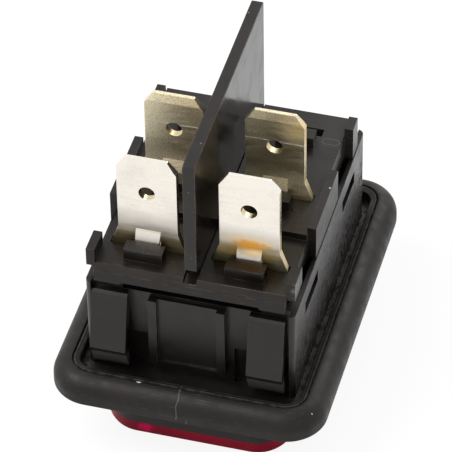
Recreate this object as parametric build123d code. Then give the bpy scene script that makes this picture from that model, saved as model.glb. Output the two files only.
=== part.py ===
from build123d import *
import math
import os

# Illuminated two-pole rocker switch that snaps into a panel from the front.
# The origin is the centre of the panel cut-out, on the seating plane of the
# sealing frame. +Z points to the terminals behind the panel, X runs across
# the short side and the rocker swings about X. All lengths in millimetres.

# Body behind the panel
body_width = 22.1
body_length = 29.6
body_corner_radius = 0.7
body_top = 10.3
side_wall = 1.2
end_wall = 1.2
end_recess = 0.95
post_width = 0.62

# Bezel plate, rim and the well that the rocker sits in
bezel_rear = -1.3
bezel_thickness = 1.8
rim_front = -4.2
well_side_inset = 0.5
well_end_margin = 1.5
well_radius = 4.0
well_floor = -2.3

# Rubber sealing frame around the bezel
frame_side_margin = 3.55
frame_end_margin = 4.7
frame_corner_radius = 4.35
frame_bulge_radius = 2.0
frame_edge_cover = 1.0
frame_front_lip = 1.9
frame_front_bevel = 1.17
frame_lip_reach = 2.85
frame_land = 0.5
frame_lip_width = 1.4
lip_height = 0.85
lip_ridge_height = 0.27
lip_ridge_pitch = 0.58
lip_ridge_inset = 0.28

# Snap wings and ribs of the two end walls
wing_width = 3.8
wing_offset = 8.3
wing_root = 9.3
wing_thickness = 0.95
wing_kink_height = 2.4
wing_frame_gap = 0.45
wing_tip_height = -0.55
wing_tip_reach = 0.15
wing_bevel = 0.25
wing_shift = 0.18
rib_shift = 0.38
rib_width = 0.9
rib_offset = 3.6
rib_bottom = 0.3
rib_top = 9.1
pad_height = 0.45
pad_ledge = 0.7
pad_ledge_height = 0.3
root_overlap = 0.1
pocket_top = 3.6
pocket_depth = 0.7
end_slot_bottom = 9.4
end_slot_depth = 0.8

# Latches between the terminal base and the side walls
latch_offset = 7.8
latch_width = 5.2
window_bottom = 6.8
window_height = 1.6
latch_relief = 0.7
latch_leg = 1.1
latch_clearance = 0.15
latch_tip_drop = 0.2
latch_lug_top_gap = 0.1
latch_lug_face = 0.5

# Terminal base
base_front_surface = 12.7
base_rear_surface = 13.5
base_step_behind_row = 4.65
base_side_inset = 1.0
base_front_bevel = 0.65
base_front_lift = 0.4
base_front_gap = 0.65
base_front_gap_half = 7.3
base_front_gap_depth = 0.8
base_corner_plate = 0.5
base_corner_pocket = 0.9
base_flush_inset = 0.1
base_rear_setback = 2.1
base_rear_ledge = 1.0
spigot_depth = 1.5
spigot_wall = 1.2
spigot_clearance = 0.15
fin_overlap = 0.05
fin_top = 14.35
fin_bottom = 12.2
front_fin_setback = 0.55
front_fin_length = 2.9
side_rib_front = -5.65
side_rib_rear = 3.55
rear_fin_setback = 2.7
rear_fin_length = 2.05

# Terminal rows and poles
pole_offset = 5.32
front_row_setback = 4.35
rear_row_setback = 5.05
row_count = 3

# Blade terminals, 6.3 mm by 0.8 mm tabs
blade_width = 6.3
blade_thickness = 0.8
blade_top = 24.55
blade_chamfer_side = 0.97
blade_chamfer_top = 1.4
blade_lead_in = 1.0
blade_edge = 0.4
blade_hole = 1.7
blade_hole_height = 20.13
shoulder_width = 7.8
shoulder_height = 0.2
flare_height = 2.4
tail_width = 4.6
tail_clearance = 0.15
tail_step = 1.5
latch_tab_width = 2.6
latch_tab_height = 1.6
latch_tab_top = 2.5
latch_tab_reach = 0.55
latch_tab_thickness = 0.4
latch_window_below = 0.3
shoulder_groove = 0.35
boss_width = 4.1
boss_depth = 1.55
boss_height = 1.3
boss_gap = 0.65

# Barrier between the poles
barrier_thickness = 1.3
barrier_top = 27.5
barrier_setback = 0.9
barrier_notch = 1.1
barrier_slot_depth = 2.2
barrier_slot_clearance = 0.06
front_slot_depth = 0.4

# Rocker, drawn level about its pivot and then tilted to its rest position
pivot_height = -2.6
rocker_tilt = 8.0
rocker_side_gap = 0.35
rocker_end_gap = 0.7
rocker_radius = 4.0
rocker_end_drop = 5.98
rocker_depth = 3.74
rocker_valley_radius = 14.0
lens_thickness = 1.8
lens_edge_bevel = 0.25
lens_spigot = 0.8
lens_spigot_clearance = 0.1
neck_side_gap = 0.55
neck_end_gap = 0.45
neck_top = 2.0
neck_wall = 1.2
neck_floor = 0.3
trunnion_radius = 1.0
trunnion_into_wall = 0.55
trunnion_clearance = 0.15
tower_radius = 2.75
lamp_chamber_width = 5.2
lamp_chamber_length = 6.6

# Plungers and their springs
plunger_bore = 3.5
plunger_bore_floor = -1.3
plunger_radius = 1.6
plunger_bottom = 2.2
plunger_nose_radius = 1.2
plunger_nose_length = 2.3
plunger_nose_bevel = 0.8
plunger_above_tower = 0.4
plunger_gap = 0.3
spring_wire = 0.45
spring_radius = 1.2
spring_pitch = 1.2

# Contact arms, fulcrum and contacts
foot_gap = 0.2
fulcrum_gap = 0.05
fulcrum_edge = 0.2
fulcrum_width = 3.4
arm_tilt = 8.0
arm_width = 4.2
arm_thickness = 0.8
arm_tip_margin = 1.65
arm_rear_margin = 0.7
ear_inner = 1.95
ear_thickness = 0.7
ear_length = 2.2
ear_height = 1.3
contact_behind_row = 1.85
contact_radius = 1.5
contact_head = 0.7
contact_round = 0.3
contact_gap = 0.05
fixed_contact_radius = 1.7
fixed_contact_head = 0.8
rivet_radius = 0.8
rivet_tail_radius = 1.15
rivet_tail = 0.35
stop_shorter_lever = 1.35
stop_gap = 0.2
stop_size = 1.4

# Neon lamp, series resistor and their wires
lamp_radius = 2.1
lamp_bottom = -1.6
lamp_top = 7.2
lead_radius = 0.25
lead_spread = 0.9
lead_bend = 0.8
resistor_radius = 0.8
resistor_length = 3.6
resistor_behind_lamp = 1.5
lead_gap_below_base = 0.85

# Worked out from the sizes above
body_half_width = body_width / 2
body_half_length = body_length / 2
cavity_half_width = body_half_width - side_wall
wall_plane = body_half_length - end_recess
cavity_half_length = wall_plane - end_wall
well_width = body_width - 2 * well_side_inset
well_length = body_length + 2 * well_end_margin
frame_width = body_width + 2 * frame_side_margin
frame_length = body_length + 2 * frame_end_margin
wing_kink_reach = frame_end_margin - frame_lip_reach - wing_frame_gap
base_half_width = body_half_width - base_side_inset
base_flush_half_width = body_half_width - base_flush_inset
base_rear_edge = body_half_length - base_rear_setback
fin_inner = base_half_width - fin_overlap
front_fin_start = front_fin_setback - body_half_length
front_fin_end = front_fin_start + front_fin_length
rear_fin_end = body_half_length - rear_fin_setback
rear_fin_start = rear_fin_end - rear_fin_length
front_row = front_row_setback - body_half_length
row_pitch = (body_length - front_row_setback - rear_row_setback) / (row_count - 1)
base_step_place = front_row + base_step_behind_row
barrier_front = barrier_setback - body_half_length
rocker_width = well_width - 2 * rocker_side_gap
rocker_length = well_length - 2 * rocker_end_gap
neck_width = 2 * (cavity_half_width - neck_side_gap)
neck_length = 2 * (cavity_half_length - neck_end_gap)
trunnion_reach = body_half_width + trunnion_into_wall
contact_lever = row_pitch - contact_behind_row
stop_lever = contact_lever - stop_shorter_lever
arm_front = contact_lever + arm_tip_margin
arm_rear = stop_lever + arm_rear_margin
bezel_front = bezel_rear - bezel_thickness
bezel_width = frame_width - 2 * frame_edge_cover
bezel_length = frame_length - 2 * frame_edge_cover
bezel_corner_radius = frame_corner_radius - frame_edge_cover
window_top = window_bottom + window_height
middle_row = front_row + row_pitch
rocker_end_half = rocker_length / 2
rocker_valley_drop = rocker_end_drop - rocker_end_half * math.tan(math.radians(rocker_tilt))
arm_rise = math.sin(math.radians(arm_tilt))
contact_above_fulcrum = ((contact_lever + contact_radius) * arm_rise
                         + contact_head * math.cos(math.radians(arm_tilt)) + contact_gap)
foot_bottom = body_top - foot_gap - blade_thickness
contact_face = foot_bottom - fixed_contact_head
fulcrum_height = contact_face - contact_above_fulcrum
plunger_tip = fulcrum_height - arm_thickness - plunger_gap - pivot_height
plunger_collar = plunger_tip - plunger_nose_length
tower_top = plunger_collar - plunger_above_tower
contact_place = middle_row - contact_lever * math.cos(math.radians(arm_tilt))
wire_height = body_top - lead_gap_below_base
resistor_start = -resistor_behind_lamp
resistor_end = resistor_start - resistor_length


def block(x_limits, y_limits, z_limits):
    """Box between two limits on each axis."""
    size = [high - low for low, high in (x_limits, y_limits, z_limits)]
    centre = [(high + low) / 2 for low, high in (x_limits, y_limits, z_limits)]
    return Pos(*centre) * Box(*size)


def slab(width, length, radius, bottom, top):
    """Upright prism with a rounded rectangular outline, centred on the origin."""
    return extrude(Pos(0, 0, bottom) * RectangleRounded(width, length, radius), top - bottom)


def both_sides(shape):
    """The shape and its mirror image across the plane x = 0."""
    return shape + mirror(shape, about=Plane.YZ)


def both_ends(shape):
    """The shape and its mirror image across the plane y = 0."""
    return shape + mirror(shape, about=Plane.XZ)


def turned_pair(shape):
    """The shape and a copy of it turned half a turn about the vertical axis."""
    return shape + Rot(0, 0, 180) * shape


def side_profile(points, half_width, centre=0):
    """Outline in the YZ plane, extruded along X to both sides of centre."""
    outline = Polyline(*[(0, y, z) for y, z in points], close=True)
    return Pos(centre, 0, 0) * extrude(make_face(outline), half_width, dir=(1, 0, 0), both=True)


def pin_along_x(radius, start, end, y, z):
    """Round pin along X between two places."""
    return Pos((start + end) / 2, y, z) * Rot(0, 90, 0) * Cylinder(radius, abs(end - start))


def pin_along_z(radius, bottom, top, x=0, y=0):
    """Round pin along Z between two heights."""
    return Pos(x, y, (bottom + top) / 2) * Cylinder(radius, top - bottom)


def wire(points):
    """Round wire along straight runs joined by tangent bends."""
    path = FilletPolyline(*points, radius=lead_bend)
    section = Plane(origin=path @ 0, z_dir=path % 0) * RegularPolygon(lead_radius, 6)
    return sweep(section, path=path)


def snap_wing():
    """One springy wing of an end wall, flared out to its kink and free at the tip."""
    outer = body_half_length
    kink = outer + wing_kink_reach
    tip = outer + wing_tip_reach
    root = wall_plane - root_overlap
    root_bottom = wing_root - 2 * wing_thickness
    points = [(root, wing_root), (outer - wing_bevel, wing_root), (outer, wing_root - wing_bevel),
              (kink, wing_kink_height), (tip, wing_tip_height), (tip - wing_thickness, wing_tip_height),
              (kink - wing_thickness, wing_kink_height), (wall_plane, root_bottom), (root, root_bottom)]
    return side_profile(points, wing_width / 2, wing_offset)


def end_wall_details():
    """Wings, ribs and the shallow pad between the ribs, on the +Y end."""
    rib_half = rib_width / 2
    root = wall_plane - root_overlap
    rib = block((rib_offset - rib_half, rib_offset + rib_half), (root, body_half_length),
                (rib_bottom, rib_top))
    pad = block((-rib_offset, rib_offset), (root, wall_plane + pad_height),
                (rib_bottom + pad_ledge_height, rib_top))
    ledge = block((-rib_offset, rib_offset), (root, wall_plane + pad_ledge),
                  (rib_bottom, rib_bottom + pad_ledge_height))
    wings = Pos(wing_shift, 0, 0) * both_sides(snap_wing())
    return wings + Pos(rib_shift, 0, 0) * (both_sides(rib) + pad + ledge)


def make_housing():
    """Body shell, bezel plate and rim in one moulding, with latch windows and pivot bores."""
    body = slab(body_width, body_length, body_corner_radius, bezel_rear, body_top)
    plate = slab(bezel_width, bezel_length, bezel_corner_radius, bezel_front, bezel_rear)
    rim_inset = 2 * frame_front_lip
    rim = slab(frame_width - rim_inset, frame_length - rim_inset, frame_corner_radius - frame_front_lip,
               rim_front, bezel_rear)
    shape = body + plate + rim
    shape -= slab(well_width, well_length, well_radius, rim_front, well_floor)
    shape -= block((-cavity_half_width, cavity_half_width), (-cavity_half_length, cavity_half_length),
                   (well_floor, body_top))
    post_inner = body_half_width - post_width
    recess = block((-post_inner, post_inner), (wall_plane, body_half_length), (bezel_rear, body_top))
    shape -= both_ends(recess)
    pocket = block((rib_offset + rib_width / 2 + rib_shift, post_inner),
                   (wall_plane - pocket_depth, wall_plane), (bezel_rear, pocket_top))
    slot = block((-base_front_gap_half, base_front_gap_half), (wall_plane - end_slot_depth, wall_plane),
                 (end_slot_bottom, body_top))
    shape -= both_ends(both_sides(pocket) + slot)
    shape += turned_pair(end_wall_details())
    half_latch = latch_width / 2
    along = (latch_offset - half_latch, latch_offset + half_latch)
    window = block((cavity_half_width, body_half_width), along, (window_bottom, window_top))
    relief = block((cavity_half_width, cavity_half_width + latch_relief), along, (window_bottom, body_top))
    shape -= both_ends(both_sides(window + relief))
    bore = pin_along_x(trunnion_radius + trunnion_clearance, cavity_half_width,
                       trunnion_reach + trunnion_clearance, 0, pivot_height)
    return shape - both_sides(bore)


def flat(x_limits, z_limits):
    """Rectangle between two limits on each axis of a section."""
    centre = (sum(x_limits) / 2, sum(z_limits) / 2)
    return Pos(*centre) * Rectangle(x_limits[1] - x_limits[0], z_limits[1] - z_limits[0])


def frame_section():
    """Section of the sealing frame: rear lip with two ridges, round edge, front lip."""
    edge = frame_width / 2
    crest = edge - frame_bulge_radius
    inner = edge - frame_lip_reach
    lip_top = bezel_rear + lip_height
    bottom = -2 * frame_bulge_radius
    half_land = frame_land / 2
    section = Pos(crest, -frame_bulge_radius) * Circle(frame_bulge_radius)
    section += flat((crest - half_land, crest + half_land), (-frame_bulge_radius, 0))
    front = [(crest, -frame_bulge_radius), (edge, -frame_bulge_radius),
             (edge, bottom + frame_front_bevel), (edge - frame_front_bevel, bottom), (crest, bottom)]
    section += make_face(Polyline(*front, close=True))
    section += flat((inner, inner + frame_lip_width), (bezel_rear, lip_top))
    ridge = inner + lip_ridge_inset
    section -= flat((ridge + lip_ridge_pitch, crest - half_land), (lip_top, 0))
    section -= flat((crest - frame_bulge_radius, edge - frame_front_lip), (bottom, bezel_front))
    section -= flat((crest - frame_bulge_radius, edge - frame_edge_cover), (bezel_front, bezel_rear))
    for place in (ridge, ridge + lip_ridge_pitch):
        section += Pos(place, lip_top) * RegularPolygon(lip_ridge_height, 4)
    return section - flat((crest - frame_bulge_radius, inner), (bottom, 0))


def make_sealing_frame():
    """The section run round the four sides, turned through each corner."""
    section = Plane.XZ * frame_section()
    straight_x = frame_width / 2 - frame_corner_radius
    straight_y = frame_length / 2 - frame_corner_radius
    side = both_sides(extrude(section, straight_y, dir=(0, 1, 0), both=True))
    end_section = Rot(0, 0, 90) * Pos(frame_length / 2 - frame_width / 2, 0, 0) * section
    end = both_ends(extrude(end_section, straight_x, dir=(1, 0, 0), both=True))
    corner_axis = Axis((straight_x, 0, 0), (0, 0, 1))
    corner = Pos(0, straight_y, 0) * revolve(section, corner_axis, 90)
    return side + end + both_ends(both_sides(corner))


def terminal_places(rows):
    """Pole and row of each terminal position, with the base surface there."""
    for row in rows:
        surface = base_front_surface if row == 0 else base_rear_surface
        for side in (-1, 1):
            yield side * pole_offset, front_row + row * row_pitch, surface


def latch_leg_shape():
    """Leg with an outward lug that snaps into a window of the side wall."""
    outer = cavity_half_width - spigot_clearance
    half_width = latch_width / 2 - latch_clearance
    lug_reach = cavity_half_width + latch_relief
    tip = window_bottom - latch_tip_drop
    lug_top = window_top - latch_lug_top_gap
    points = [(outer - latch_leg, body_top), (outer - latch_leg, tip), (outer, tip),
              (lug_reach, lug_top - latch_lug_face), (lug_reach, lug_top), (outer, lug_top),
              (outer, body_top)]
    outline = make_face(Polyline(*[(x, 0, z) for x, z in points], close=True))
    return Pos(0, latch_offset, 0) * extrude(outline, half_width, dir=(0, 1, 0), both=True)


def make_terminal_base():
    """Cover that carries the terminals and the barrier and latches into the body."""
    core = (-base_half_width, base_half_width)
    shape = block(core, (-body_half_length, base_step_place), (body_top, base_front_surface))
    shape += block(core, (base_step_place, base_rear_edge), (body_top, base_rear_surface))
    shape += block(core, (base_rear_edge, body_half_length), (body_top, body_top + base_rear_ledge))
    front_strip = (-body_half_length, base_front_gap_depth - body_half_length)
    shape -= block(core, front_strip, (body_top, body_top + base_front_lift))
    shape -= block((-base_front_gap_half, base_front_gap_half), front_strip,
                   (body_top, body_top + base_front_gap))
    front_edge = shape.edges().filter_by(Axis.X).group_by(Axis.Y)[0].sort_by(Axis.Z)[-1]
    shape = chamfer(front_edge, base_front_bevel)
    corner_start = base_corner_plate - body_half_length
    shape -= both_sides(block((base_half_width - base_corner_pocket, base_half_width),
                              (corner_start, front_fin_end), (body_top, fin_bottom)))
    flush = (fin_inner, base_flush_half_width)
    fins = block(flush, (front_fin_start, front_fin_end), (fin_bottom, fin_top))
    fins += block(flush, (side_rib_front, side_rib_rear), (body_top, fin_top))
    fins += block(flush, (rear_fin_start, rear_fin_end), (body_top, fin_top))
    shape += both_sides(fins)
    outer_x = cavity_half_width - spigot_clearance
    outer_y = cavity_half_length - spigot_clearance
    ring = block((-outer_x, outer_x), (-outer_y, outer_y), (body_top - spigot_depth, body_top))
    inner_x = outer_x - spigot_wall
    inner_y = outer_y - spigot_wall
    ring -= block((-inner_x, inner_x), (-inner_y, inner_y), (body_top - spigot_depth, body_top))
    shape += ring + both_ends(both_sides(latch_leg_shape()))
    front_face = blade_thickness / 2
    for x, y, surface in terminal_places(range(row_count)):
        shape += Pos(x, y - front_face - boss_gap - boss_depth / 2, surface + boss_height / 2) * Box(
            boss_width, boss_depth, boss_height)
        slot_width = tail_width + 2 * tail_clearance
        slot_thickness = blade_thickness + 2 * tail_clearance
        slot_height = 2 * (surface - body_top)
        shape -= Pos(x, y, body_top) * Box(slot_width, slot_thickness, slot_height)
    for x, y, surface in terminal_places(range(row_count - 1)):
        shape -= Pos(x, y, surface - shoulder_groove / 2) * Box(
            shoulder_width + 2 * tail_clearance, blade_thickness + 2 * tail_clearance, shoulder_groove)
    slot_half = barrier_thickness / 2 + barrier_slot_clearance
    slot_bottom = base_rear_surface - barrier_slot_depth
    notch_end = barrier_front + barrier_notch
    shape -= block((-slot_half, slot_half), (notch_end, base_rear_edge), (slot_bottom, fin_top))
    shape -= block((-slot_half, slot_half), (-body_half_length, notch_end),
                   (base_front_surface - front_slot_depth, fin_top))
    stop_bottom = fulcrum_height + stop_lever * arm_rise + stop_gap
    stop_place = middle_row + stop_lever
    stop_ends = (stop_place - stop_size / 2, stop_place + stop_size / 2)
    for side in (-1, 1):
        x = side * pole_offset
        shape += block((x - stop_size, x + stop_size), stop_ends, (stop_bottom, body_top))
    return shape


def make_pole_barrier():
    """Upright plate between the poles, its foot set in the slot of the base."""
    half = barrier_thickness / 2
    foot = base_rear_surface - barrier_slot_depth
    notch_end = barrier_front + barrier_notch
    points = [(barrier_front, base_rear_surface), (notch_end, base_rear_surface), (notch_end, foot),
              (base_rear_edge, foot), (base_rear_edge, barrier_top), (barrier_front, barrier_top)]
    return side_profile(points, half)


def blade(surface, bottom, bottom_width):
    """Blade, flared shoulder and tail of a terminal, centred on x = y = 0."""
    half = blade_width / 2
    shoulder = shoulder_width / 2
    seat = surface - shoulder_groove
    right = [(bottom_width / 2, bottom), (tail_width / 2, seat - tail_step), (tail_width / 2, seat),
             (shoulder, seat), (shoulder, surface + shoulder_height), (half, surface + flare_height),
             (half, blade_top - blade_chamfer_top), (half - blade_chamfer_side, blade_top)]
    left = [(-x, z) for x, z in reversed(right)]
    outline = make_face(Polyline(*[(x, 0, z) for x, z in right + left], close=True))
    shape = extrude(outline, blade_thickness / 2, dir=(0, 1, 0), both=True)
    shape -= Pos(0, 0, blade_hole_height) * Rot(90, 0, 0) * Cylinder(blade_hole / 2, 2 * blade_thickness)
    outer = blade_thickness / 2
    inner = blade_edge / 2
    wedge = side_profile([(inner, blade_top), (outer, blade_top - blade_lead_in),
                          (2 * outer, blade_top - blade_lead_in), (2 * outer, blade_top)], half)
    return shape - both_ends(wedge)


def latch_tab(surface):
    """Window in the lower blade and the tongue lanced out of it towards -Y."""
    half = latch_tab_width / 2
    face = -blade_thickness / 2
    top = surface + latch_tab_top
    bottom = top - latch_tab_height
    window = block((-half, half), (-blade_thickness, blade_thickness),
                   (bottom - latch_window_below, top - latch_tab_thickness))
    inner = face + latch_tab_thickness
    tongue = side_profile([(face, top), (face - latch_tab_reach, bottom),
                           (inner - latch_tab_reach, bottom), (inner, top - latch_tab_thickness),
                           (inner, top)], half)
    return window, tongue


def make_front_terminal(side):
    """Terminal of the front row, with a foot below the base for the fixed contact."""
    window, tongue = latch_tab(base_front_surface)
    shape = blade(base_front_surface, foot_bottom, tail_width) - window + tongue
    half = tail_width / 2
    foot_end = contact_place - front_row + fixed_contact_radius
    foot_top = foot_bottom + blade_thickness
    foot = block((-half, half), (-blade_thickness / 2, foot_end), (foot_bottom, foot_top))
    foot -= pin_along_z(rivet_radius, foot_bottom, foot_top, 0, contact_place - front_row)
    shape += foot
    return Pos(side * pole_offset, front_row, 0) * shape


def make_middle_terminal(side):
    """Terminal of the middle row, its tail cut to the edge that the contact arm rocks on."""
    window, tongue = latch_tab(base_rear_surface)
    bottom = fulcrum_height + fulcrum_gap
    shape = blade(base_rear_surface, bottom, fulcrum_width) - window + tongue
    outer = blade_thickness / 2
    inner = fulcrum_edge / 2
    wedge = side_profile([(inner, bottom), (2 * outer, bottom), (2 * outer, bottom + outer),
                          (outer, bottom + outer)], tail_width)
    shape -= both_ends(wedge)
    return Pos(side * pole_offset, middle_row, 0) * shape


def make_fixed_contact(side):
    """Rivet through the foot of a front terminal, its head facing the moving contact."""
    head = pin_along_z(fixed_contact_radius, contact_face, foot_bottom)
    head = chamfer(head.edges().sort_by(Axis.Z)[0], contact_round)
    shank = pin_along_z(rivet_radius, foot_bottom, foot_bottom + blade_thickness)
    return Pos(side * pole_offset, contact_place, 0) * (head + shank)


def rock_arm(side, shape):
    """Carry a shape drawn about the fulcrum to its pole and tilt it to the rest position."""
    return Pos(side * pole_offset, middle_row, fulcrum_height) * Rot(-arm_tilt, 0, 0) * shape


def make_contact_arm(side):
    """Seesaw strip that rocks on the middle terminal, with ears astride its tail."""
    strip = block((-arm_width / 2, arm_width / 2), (-arm_front, arm_rear), (-arm_thickness, 0))
    strip = fillet(strip.edges().filter_by(Axis.Z), arm_width / 4)
    ear_outer = ear_inner + ear_thickness
    ears = block((-ear_outer, ear_outer), (-ear_length / 2, ear_length / 2), (-arm_thickness, ear_height))
    ears -= block((-ear_inner, ear_inner), (-ear_length, ear_length), (0, 2 * ear_height))
    shape = strip + ears
    shape -= pin_along_z(rivet_radius, -2 * arm_thickness, arm_thickness, 0, -contact_lever)
    return rock_arm(side, shape)


def make_moving_contact(side):
    """Rivet at the front end of a contact arm."""
    head = pin_along_z(contact_radius, 0, contact_head, 0, -contact_lever)
    head = chamfer(head.edges().sort_by(Axis.Z)[-1], contact_round)
    shank = pin_along_z(rivet_radius, -arm_thickness, 0, 0, -contact_lever)
    tail = pin_along_z(rivet_tail_radius, -arm_thickness - rivet_tail, -arm_thickness, 0, -contact_lever)
    return rock_arm(side, head + shank + tail)


def tilt_rocker(shape):
    """Carry a shape drawn about the pivot to the pivot and tilt it to the rest position."""
    return Pos(0, 0, pivot_height) * Rot(rocker_tilt, 0, 0) * shape


def rocker_layer(near, far):
    """Layer of the paddle between two depths below its face, following the shallow V of the face."""
    end = rocker_end_half
    points = [(-end, near - rocker_end_drop), (0, near - rocker_valley_drop), (end, near - rocker_end_drop),
              (end, far - rocker_end_drop), (0, far - rocker_valley_drop), (-end, far - rocker_end_drop)]
    layer = side_profile(points, rocker_width / 2)
    ridges = layer.edges().filter_by(Axis.X)
    middle = [edge for edge in ridges if abs(edge.center().Y) < 0.01]
    layer = fillet(middle, rocker_valley_radius)
    outline = slab(rocker_width, rocker_length, rocker_radius, -2 * rocker_end_drop, rocker_end_drop)
    return layer & outline


def make_rocker_body():
    """Black paddle body with the neck, plunger towers, lamp chamber and trunnions."""
    shape = rocker_layer(lens_thickness, rocker_depth)
    neck_end = neck_length / 2
    neck_bottom = (lens_thickness + rocker_depth) / 2 - rocker_valley_drop
    neck_fall = neck_end * math.tan(math.radians(rocker_tilt))
    neck = slab(neck_width, neck_length, neck_wall, -rocker_end_drop, neck_top)
    above_lens = side_profile([(-neck_end, neck_bottom - neck_fall), (0, neck_bottom),
                               (neck_end, neck_bottom - neck_fall), (neck_end, neck_top),
                               (-neck_end, neck_top)], neck_width)
    shape += neck & above_lens
    shape -= slab(neck_width - 2 * neck_wall, neck_length - 2 * neck_wall, neck_wall, neck_floor, neck_top)
    for side in (-1, 1):
        shape += pin_along_z(tower_radius, neck_bottom, tower_top, side * pole_offset)
        shape += pin_along_x(trunnion_radius, side * neck_width / 2, side * trunnion_reach, 0, 0)
    for side in (-1, 1):
        shape -= pin_along_z(plunger_bore / 2, plunger_bore_floor, tower_top, side * pole_offset)
    shape -= block((-lamp_chamber_width / 2, lamp_chamber_width / 2),
                   (-lamp_chamber_length / 2, lamp_chamber_length / 2), (-rocker_end_drop, neck_top))
    return tilt_rocker(shape)


def make_rocker_lens():
    """Red lens over the whole face of the paddle, with a spigot in the lamp chamber."""
    layer = rocker_layer(0, lens_thickness)
    face = [part for part in layer.faces() if part.normal_at().Z < -0.9]
    edges = [edge for part in face for edge in part.edges()]
    rim = [edge for edge in edges if abs(edge.center().Y) > rocker_valley_radius / 2
           or abs(edge.center().X) > rocker_width / 2 - lens_thickness]
    layer = chamfer(rim, lens_edge_bevel)
    half_x = lamp_chamber_width / 2 - lens_spigot_clearance
    half_y = lamp_chamber_length / 2 - lens_spigot_clearance
    lens_middle = lens_thickness / 2 - rocker_valley_drop
    spigot = block((-half_x, half_x), (-half_y, half_y),
                   (lens_middle, lens_middle + lens_thickness / 2 + lens_spigot))
    return tilt_rocker(layer + spigot)


def make_plunger(side):
    """Plunger with a tapered nose, sliding in a tower of the rocker body."""
    guide = pin_along_z(plunger_radius, plunger_bottom, plunger_collar)
    nose = pin_along_z(plunger_nose_radius, plunger_collar, plunger_tip)
    nose = chamfer(nose.edges().sort_by(Axis.Z)[-1], plunger_nose_bevel)
    return tilt_rocker(Pos(side * pole_offset, 0, 0) * (guide + nose))


def make_plunger_spring(side):
    """Compression spring under a plunger, from the floor of its bore."""
    half_wire = spring_wire / 2
    height = plunger_bottom - plunger_bore_floor - 2 * half_wire
    path = Helix(pitch=spring_pitch, height=height, radius=spring_radius)
    section = Plane(origin=path @ 0, z_dir=path % 0) * RegularPolygon(half_wire, 4)
    coil = sweep(section, path=path, is_frenet=True)
    return tilt_rocker(Pos(side * pole_offset, 0, plunger_bore_floor + half_wire) * coil)


def make_neon_lamp():
    """Neon lamp on the centre line, reaching down into the lamp chamber of the rocker."""
    length = lamp_top - lamp_bottom
    glass = Pos(0, 0, lamp_bottom + length / 2) * Cylinder(lamp_radius, length)
    return chamfer(glass.edges().sort_by(Axis.Z)[0], lamp_radius / 2)


def make_left_lamp_lead():
    """Wire from the lamp up and along to the resistor."""
    start = (-lead_spread, 0, lamp_top)
    return wire([start, (-lead_spread, 0, wire_height), (-lead_spread, resistor_start, wire_height)])


def make_right_lamp_lead():
    """Wire from the lamp up, along and across to the foot of the right front terminal."""
    foot_edge = pole_offset - tail_width / 2
    return wire([(lead_spread, 0, lamp_top), (lead_spread, 0, wire_height),
                 (lead_spread, contact_place, wire_height), (foot_edge, contact_place, wire_height)])


def make_lamp_resistor():
    """Series resistor with its own lead bent across to the foot of the left front terminal."""
    middle = resistor_end + resistor_length / 2
    body = Rot(90, 0, 0) * Cylinder(resistor_radius, resistor_length)
    body = Pos(-lead_spread, middle, wire_height) * body
    body = chamfer(body.edges().filter_by(GeomType.CIRCLE), resistor_radius / 3)
    foot_edge = pole_offset - tail_width / 2
    lead = wire([(-lead_spread, resistor_end, wire_height), (-lead_spread, contact_place, wire_height),
                 (-foot_edge, contact_place, wire_height)])
    return body + lead


parts = {
    "housing": make_housing(),
    "sealing_frame": make_sealing_frame(),
    "terminal_base": make_terminal_base(),
    "pole_barrier": make_pole_barrier(),
    "rocker_body": make_rocker_body(),
    "rocker_lens": make_rocker_lens(),
    "neon_lamp": make_neon_lamp(),
    "lamp_resistor": make_lamp_resistor(),
    "left_lamp_lead": make_left_lamp_lead(),
    "right_lamp_lead": make_right_lamp_lead(),
}
for side_name, side in (("left", -1), ("right", 1)):
    parts[f"front_{side_name}_terminal"] = make_front_terminal(side)
    parts[f"middle_{side_name}_terminal"] = make_middle_terminal(side)
    parts[f"{side_name}_fixed_contact"] = make_fixed_contact(side)
    parts[f"{side_name}_contact_arm"] = make_contact_arm(side)
    parts[f"{side_name}_moving_contact"] = make_moving_contact(side)
    parts[f"{side_name}_plunger"] = make_plunger(side)
    parts[f"{side_name}_plunger_spring"] = make_plunger_spring(side)

os.makedirs("parts", exist_ok=True)
for name, shape in parts.items():
    export_step(shape, f"parts/{name}.step")
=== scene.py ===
import math

import bpy
import mathutils
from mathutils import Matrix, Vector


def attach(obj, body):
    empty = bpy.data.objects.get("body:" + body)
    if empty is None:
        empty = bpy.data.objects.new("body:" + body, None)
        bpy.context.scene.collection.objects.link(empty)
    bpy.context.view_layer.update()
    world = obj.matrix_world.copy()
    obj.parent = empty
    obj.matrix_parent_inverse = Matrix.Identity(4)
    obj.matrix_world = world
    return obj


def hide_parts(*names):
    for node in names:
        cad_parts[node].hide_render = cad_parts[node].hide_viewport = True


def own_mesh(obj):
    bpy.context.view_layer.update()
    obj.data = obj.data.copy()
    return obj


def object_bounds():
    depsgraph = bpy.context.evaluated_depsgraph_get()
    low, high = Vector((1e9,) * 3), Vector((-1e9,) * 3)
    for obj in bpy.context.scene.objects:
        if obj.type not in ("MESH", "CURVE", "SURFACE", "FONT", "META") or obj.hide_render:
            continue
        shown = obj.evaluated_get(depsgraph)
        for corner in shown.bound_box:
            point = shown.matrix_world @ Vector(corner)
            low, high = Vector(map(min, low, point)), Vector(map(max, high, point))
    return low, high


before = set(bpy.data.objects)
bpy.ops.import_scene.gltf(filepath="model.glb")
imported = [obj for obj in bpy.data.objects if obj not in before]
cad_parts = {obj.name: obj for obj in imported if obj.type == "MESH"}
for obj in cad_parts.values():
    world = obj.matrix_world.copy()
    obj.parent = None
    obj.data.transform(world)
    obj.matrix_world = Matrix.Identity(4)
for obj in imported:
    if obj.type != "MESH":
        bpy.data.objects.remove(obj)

cad_low, cad_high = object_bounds()


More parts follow.
